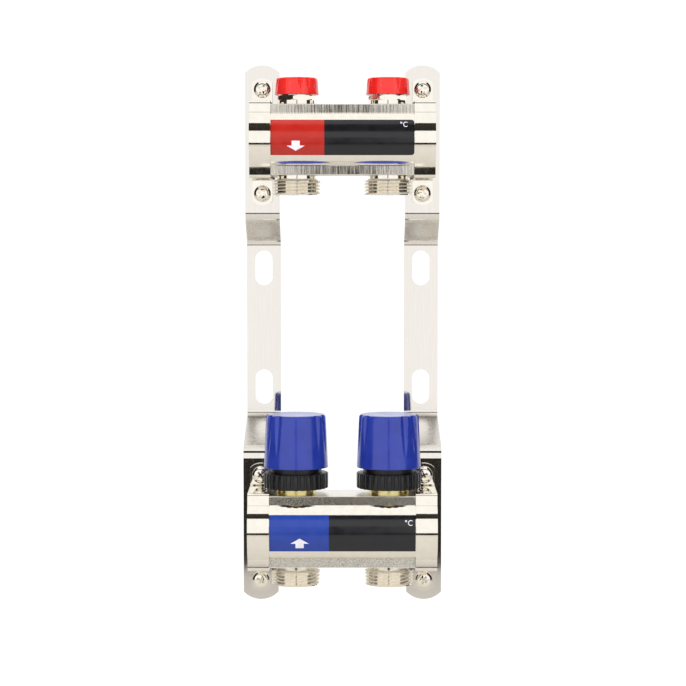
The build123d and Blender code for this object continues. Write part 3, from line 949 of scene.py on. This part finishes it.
# %% Copy the rib round the ring
tree, entry = new_tree("ribbed_ring", {"Ring": "NodeSocketObject", "Rib": "NodeSocketObject",
                                       "Count": "NodeSocketInt", "Place": "NodeSocketVector",
                                       "Material": "NodeSocketMaterial"})
points = add_node(tree, "GeometryNodeMeshLine", {"Count": entry["Count"], "Offset": (0, 0, 0)})
index = add_node(tree, "GeometryNodeInputIndex")
step = add_node(tree, "ShaderNodeMath", {0: 2 * pi, 1: entry["Count"]}, operation="DIVIDE")
turn = add_node(tree, "ShaderNodeMath", {0: index.outputs[0], 1: step.outputs[0]}, operation="MULTIPLY")
spin = add_node(tree, "ShaderNodeCombineXYZ", {"Z": turn.outputs[0]})
rib_source = add_node(tree, "GeometryNodeObjectInfo", {"Object": entry["Rib"]})
copies = add_node(tree, "GeometryNodeInstanceOnPoints",
                  {"Points": points.outputs[0], "Instance": rib_source.outputs["Geometry"],
                   "Rotation": spin.outputs[0]})
moved = add_node(tree, "GeometryNodeTransform",
                 {"Geometry": copies.outputs[0], "Translation": entry["Place"]})
ring_source = add_node(tree, "GeometryNodeObjectInfo", {"Object": entry["Ring"]})
both = add_node(tree, "GeometryNodeJoinGeometry", {0: moved.outputs[0]})
tree.links.new(ring_source.outputs["Geometry"], both.inputs[0])
end_tree(tree, both.outputs[0], entry["Material"])

for side_name, side in sides.items():
    plain = turned(f"plain_ring_{side_name}", "return", side, ring_profile, [black_nylon], 168)
    place = (side * outlet_offset * MM, return_axis[0] * MM, return_axis[1] * MM)
    ring = grow(f"ribbed_ring_{side_name}", tree,
                {"Ring": plain, "Rib": rib, "Count": rib_count, "Place": place, "Material": black_nylon})
    bpy.data.objects.remove(plain)
    belongs(ring, "manifold", "black_plastic", f"union_ring_{side_name}")
bpy.data.objects.remove(rib)
print("ring faces", len(ring.data.polygons))

# %% [markdown]
# ## Clamp screws
#
# Eight pan head screws hold the straps. The cross recess is cut out of one head with a
# boolean, because its tapered walls are what catches the light, and then a tree places two
# copies for each strap, each turned a little differently, as a fitter leaves them.

# %% Model one screw
head_radius = 4.7
head_height = 3.0
shank_radius = 2.45
head_count = 64
head_profile = profile_of([(0, -9.0, 0), (shank_radius - 0.5, -9.0, 0.1), (shank_radius, -8.3, 0.1),
                           (shank_radius, -0.3, 0)])
for k in range(9):
    head_profile.insert(-1, (shank_radius - (0.35 if k % 2 == 0 else 0.0), -7.9 + k * 0.4))
head_profile += profile_of([(shank_radius, 0, 0), (head_radius, 0, 0.15), (head_radius, 1.3, 0.6),
                            (head_radius - 1.3, 2.75, 2.0), (0, head_height, 0)], 8)
bm = bmesh.new()
circle = [(cos(2 * pi * k / head_count), sin(2 * pi * k / head_count)) for k in range(head_count)]
rows = []
for radius, height in head_profile:
    if radius == 0:
        rows.append([bm.verts.new((0, -height, 0))] * head_count)
    else:
        rows.append([bm.verts.new((radius * c, -height, radius * s)) for c, s in circle])
for one, two in zip(rows, rows[1:]):
    join_rings(bm, one, two)
screw = as_piece(bm, "one_screw", [bright_nickel], 40)

# %% Cut the cross recess
wide, narrow = 2.7, 0.62
bm = bmesh.new()
for turned_arm in (False, True):
    corners = []
    for depth, share in ((-head_height - 0.5, 1.12), (-head_height + 1.9, 0.45)):
        for a, b in ((-1, -1), (1, -1), (1, 1), (-1, 1)):
            u, v = a * wide * share, b * narrow * (share if share > 1 else 0.75)
            corners.append(bm.verts.new((v, depth, u) if turned_arm else (u, depth, v)))
    for ids in ((0, 1, 2, 3), (7, 6, 5, 4), (0, 4, 5, 1), (1, 5, 6, 2), (2, 6, 7, 3), (3, 7, 4, 0)):
        bm.faces.new([corners[i] for i in ids])
cut_away(screw, as_piece(bm, "recess_cutter", [bright_nickel]), 40)
print("screw with", len(screw.data.polygons), "faces")

# %% Place two screws for each strap
tree, entry = new_tree("screw_pair", {"Screw": "NodeSocketObject", "Upper": "NodeSocketVector",
                                      "Spacing": "NodeSocketFloat", "Seed": "NodeSocketInt",
                                      "Material": "NodeSocketMaterial"})
down = add_node(tree, "ShaderNodeMath", {0: entry["Spacing"], 1: -1.0}, operation="MULTIPLY")
run = add_node(tree, "ShaderNodeCombineXYZ", {"Z": down.outputs[0]})
points = add_node(tree, "GeometryNodeMeshLine",
                  {"Count": 2, "Start Location": entry["Upper"], "Offset": run.outputs[0]})
twist = add_node(tree, "FunctionNodeRandomValue",
                 {"Min": (0, 0.1, 0), "Max": (0, 1.4, 0), "Seed": entry["Seed"]}, data_type="FLOAT_VECTOR")
source = add_node(tree, "GeometryNodeObjectInfo", {"Object": entry["Screw"]})
copies = add_node(tree, "GeometryNodeInstanceOnPoints",
                  {"Points": points.outputs[0], "Instance": source.outputs["Geometry"],
                   "Rotation": twist.outputs[0]})
end_tree(tree, copies.outputs[0], entry["Material"])

screw_offset = bar_top + 9.75
seed = 3
for bar_name, (axis_y, axis_z) in axes.items():
    for side_name, side in sides.items():
        seat = axis_y + bar_front - strap_thickness
        top = (side * bracket_x * MM, seat * MM, (axis_z - ear_drop[bar_name] + screw_offset) * MM)
        pair = grow(f"{bar_name}_clamp_screws_{side_name}", tree,
                    {"Screw": screw, "Upper": top, "Spacing": 2 * screw_offset * MM, "Seed": seed,
                     "Material": bright_nickel})
        belongs(pair, "manifold", "nickel", f"{bar_name}_screws_{side_name}")
        seed += 1
bpy.data.objects.remove(screw)
print("eight screws placed")

# %% [markdown]
# ## Pieces that the frame already has right
#
# Valve bodies, gland nuts, seals and springs are plain turned or hexagonal shapes, and their
# solids need no second model. They only get their finish, and a tree that merges their loose
# triangles and shades them smooth wherever the surface is really round.

# %% Smooth shading for the solids
tree, entry = new_tree("smooth_round_faces", {"Geometry": "NodeSocketGeometry", "Limit": "NodeSocketFloat"})
merged = add_node(tree, "GeometryNodeMergeByDistance", {"Geometry": entry["Geometry"], "Distance": 0.000002})
faces = add_node(tree, "GeometryNodeSetShadeSmooth", {"Geometry": merged.outputs[0]}, domain="FACE")
bend = add_node(tree, "GeometryNodeInputMeshEdgeAngle")
flat_enough = add_node(tree, "FunctionNodeCompare", {0: bend.outputs["Unsigned Angle"], 1: entry["Limit"]},
                       data_type="FLOAT", operation="LESS_THAN")
edges = add_node(tree, "GeometryNodeSetShadeSmooth",
                 {"Geometry": faces.outputs[0], "Shade Smooth": flat_enough.outputs[0]}, domain="EDGE")
add_node(tree, "NodeGroupOutput", {0: edges.outputs[0]})
limit_socket = [item.identifier for item in tree.interface.items_tree if item.name == "Limit"][0]

solid_finishes = {
    "lockshield_body": bright_nickel, "regulating_spindle": turned_brass, "spindle_seal": moulded_rubber,
    "cap_gasket": moulded_rubber, "valve_insert": turned_brass, "valve_pin": drawn_steel,
    "valve_disc": moulded_rubber, "gland_nut": turned_brass, "return_spring": drawn_steel,
    "wheel_carrier": black_nylon,
}
for name, surface in solid_finishes.items():
    for side_name in sides:
        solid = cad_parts[f"{name}_{side_name}"]
        for slot in solid.material_slots:
            slot.material = surface
        shade = solid.modifiers.new("shade", "NODES")
        shade.node_group = tree
        shade[limit_socket] = radians(32)
print("finished", 2 * len(solid_finishes), "solids")

# %% [markdown]
# ## Floor, light and what the metal mirrors
#
# Bright nickel shows the studio more than itself. The picture needs a white room, with a few
# dark bands where it was not white: a dark bar high in front, a low one far behind the lens,
# the camera's stand, and darker sides. They are boards that only reflections see. The floor
# is pale and far below.

# %% Floor


def stage_board(name, corners, material, mirror_only):
    """A flat board of the studio, in metres. One that is mirror_only shows only in reflections."""
    mesh = bpy.data.meshes.new(name)
    mesh.from_pydata(corners, [], [(0, 1, 2, 3)])
    mesh.materials.append(material)
    board = bpy.data.objects.new(name, mesh)
    scene.collection.objects.link(board)
    if mirror_only:
        board.visible_camera = False
        board.visible_diffuse = False
        board.visible_shadow = False
        board.visible_transmission = False


floor_material, tree, shader, place = start_material("pale_floor", "#D0CDC8", 0.0, 0.6)
vary(tree, shader, place, (1, 1, 1), 30.0, (0.55, 0.65), ("#CFCCC7", "#D2CFCA"))
ray = add_node(tree, "ShaderNodeLightPath")
glow = add_node(tree, "ShaderNodeMath", {0: ray.outputs["Is Camera Ray"], 1: 0.6}, operation="MULTIPLY")
shader.inputs["Emission Color"].default_value = (1, 1, 1, 1)
tree.links.new(glow.outputs[0], shader.inputs["Emission Strength"])
floor_level = -0.46
floor_half = 3.0
stage_board("floor", [(x * floor_half, y * floor_half, floor_level)
                      for x, y in ((-1, -1), (1, -1), (1, 1), (-1, 1))], floor_material, False)

# %% White room
world = bpy.data.worlds.new("white_room")
scene.world = world
world.use_nodes = True
tree = world.node_tree
tree.nodes.clear()
ray = add_node(tree, "ShaderNodeLightPath")
seen = add_node(tree, "ShaderNodeMath", {0: ray.outputs["Is Camera Ray"], 1: ray.outputs["Is Glossy Ray"]},
                operation="MAXIMUM")
seen = add_node(tree, "ShaderNodeMath", {0: seen.outputs[0], 1: ray.outputs["Is Transmission Ray"]},
                operation="MAXIMUM")
level = add_node(tree, "ShaderNodeMapRange", {0: seen.outputs[0], 3: 0.62, 4: 1.05})
sky = add_node(tree, "ShaderNodeBackground", {"Color": (1, 1, 1, 1), "Strength": level.outputs[0]})
add_node(tree, "ShaderNodeOutputWorld", {"Surface": sky.outputs[0]})

# %% Dark boards for the reflections


def matt_board(name, base):
    material, _, shader, _ = start_material(name, base, 0.0, 0.9)
    shader.inputs["Specular IOR Level"].default_value = 0.0
    return material


dark_board = matt_board("dark_board", "#2E2B28")
side_grey = matt_board("side_grey", "#33312E")


def wide_board(name, half, lower, upper):
    """A dark board twice half wide, between a lower and an upper edge, each (y, z) in metres."""
    corners = [(-half, *lower), (half, *lower), (half, *upper), (-half, *upper)]
    stage_board(name, corners, dark_board, True)


wide_board("high_board", 1.2, (-0.77, 0.47), (-1.53, 2.05))
wide_board("low_board", 0.22, (-2.0, -0.455), (-2.0, -0.243))
wide_board("camera_stand", 0.046, (-1.22, -0.25), (-1.22, 0.24))
side_distance = 2.2
side_outline = [(-1.25, -0.44), (1.5, -0.44), (1.5, 4.0), (-1.25, 4.0)]
for side_name, side in sides.items():
    stage_board(f"side_board_{side_name}", [(side * side_distance, y, z) for y, z in side_outline],
                side_grey, True)

# %% Softboxes


def softbox(name, place, size, power):
    """A lamp that looks at the middle of the manifold and doesn't show in its metal."""
    data = bpy.data.lights.new(name, "AREA")
    data.shape = "RECTANGLE"
    data.size, data.size_y = size
    data.energy = power
    lamp = bpy.data.objects.new(name, data)
    lamp.visible_glossy = False
    lamp.location = place
    lamp.rotation_euler = (-Vector(place)).to_track_quat("-Z", "Y").to_euler()
    scene.collection.objects.link(lamp)


softbox("left_softbox", (-1.3, -1.7, 0.9), (0.5, 1.4), 18)
softbox("right_softbox", (1.3, -1.7, 0.7), (0.5, 1.4), 14)
softbox("top_softbox", (0, -0.5, 1.8), (1.4, 0.9), 16)
print("lamps and boards placed")
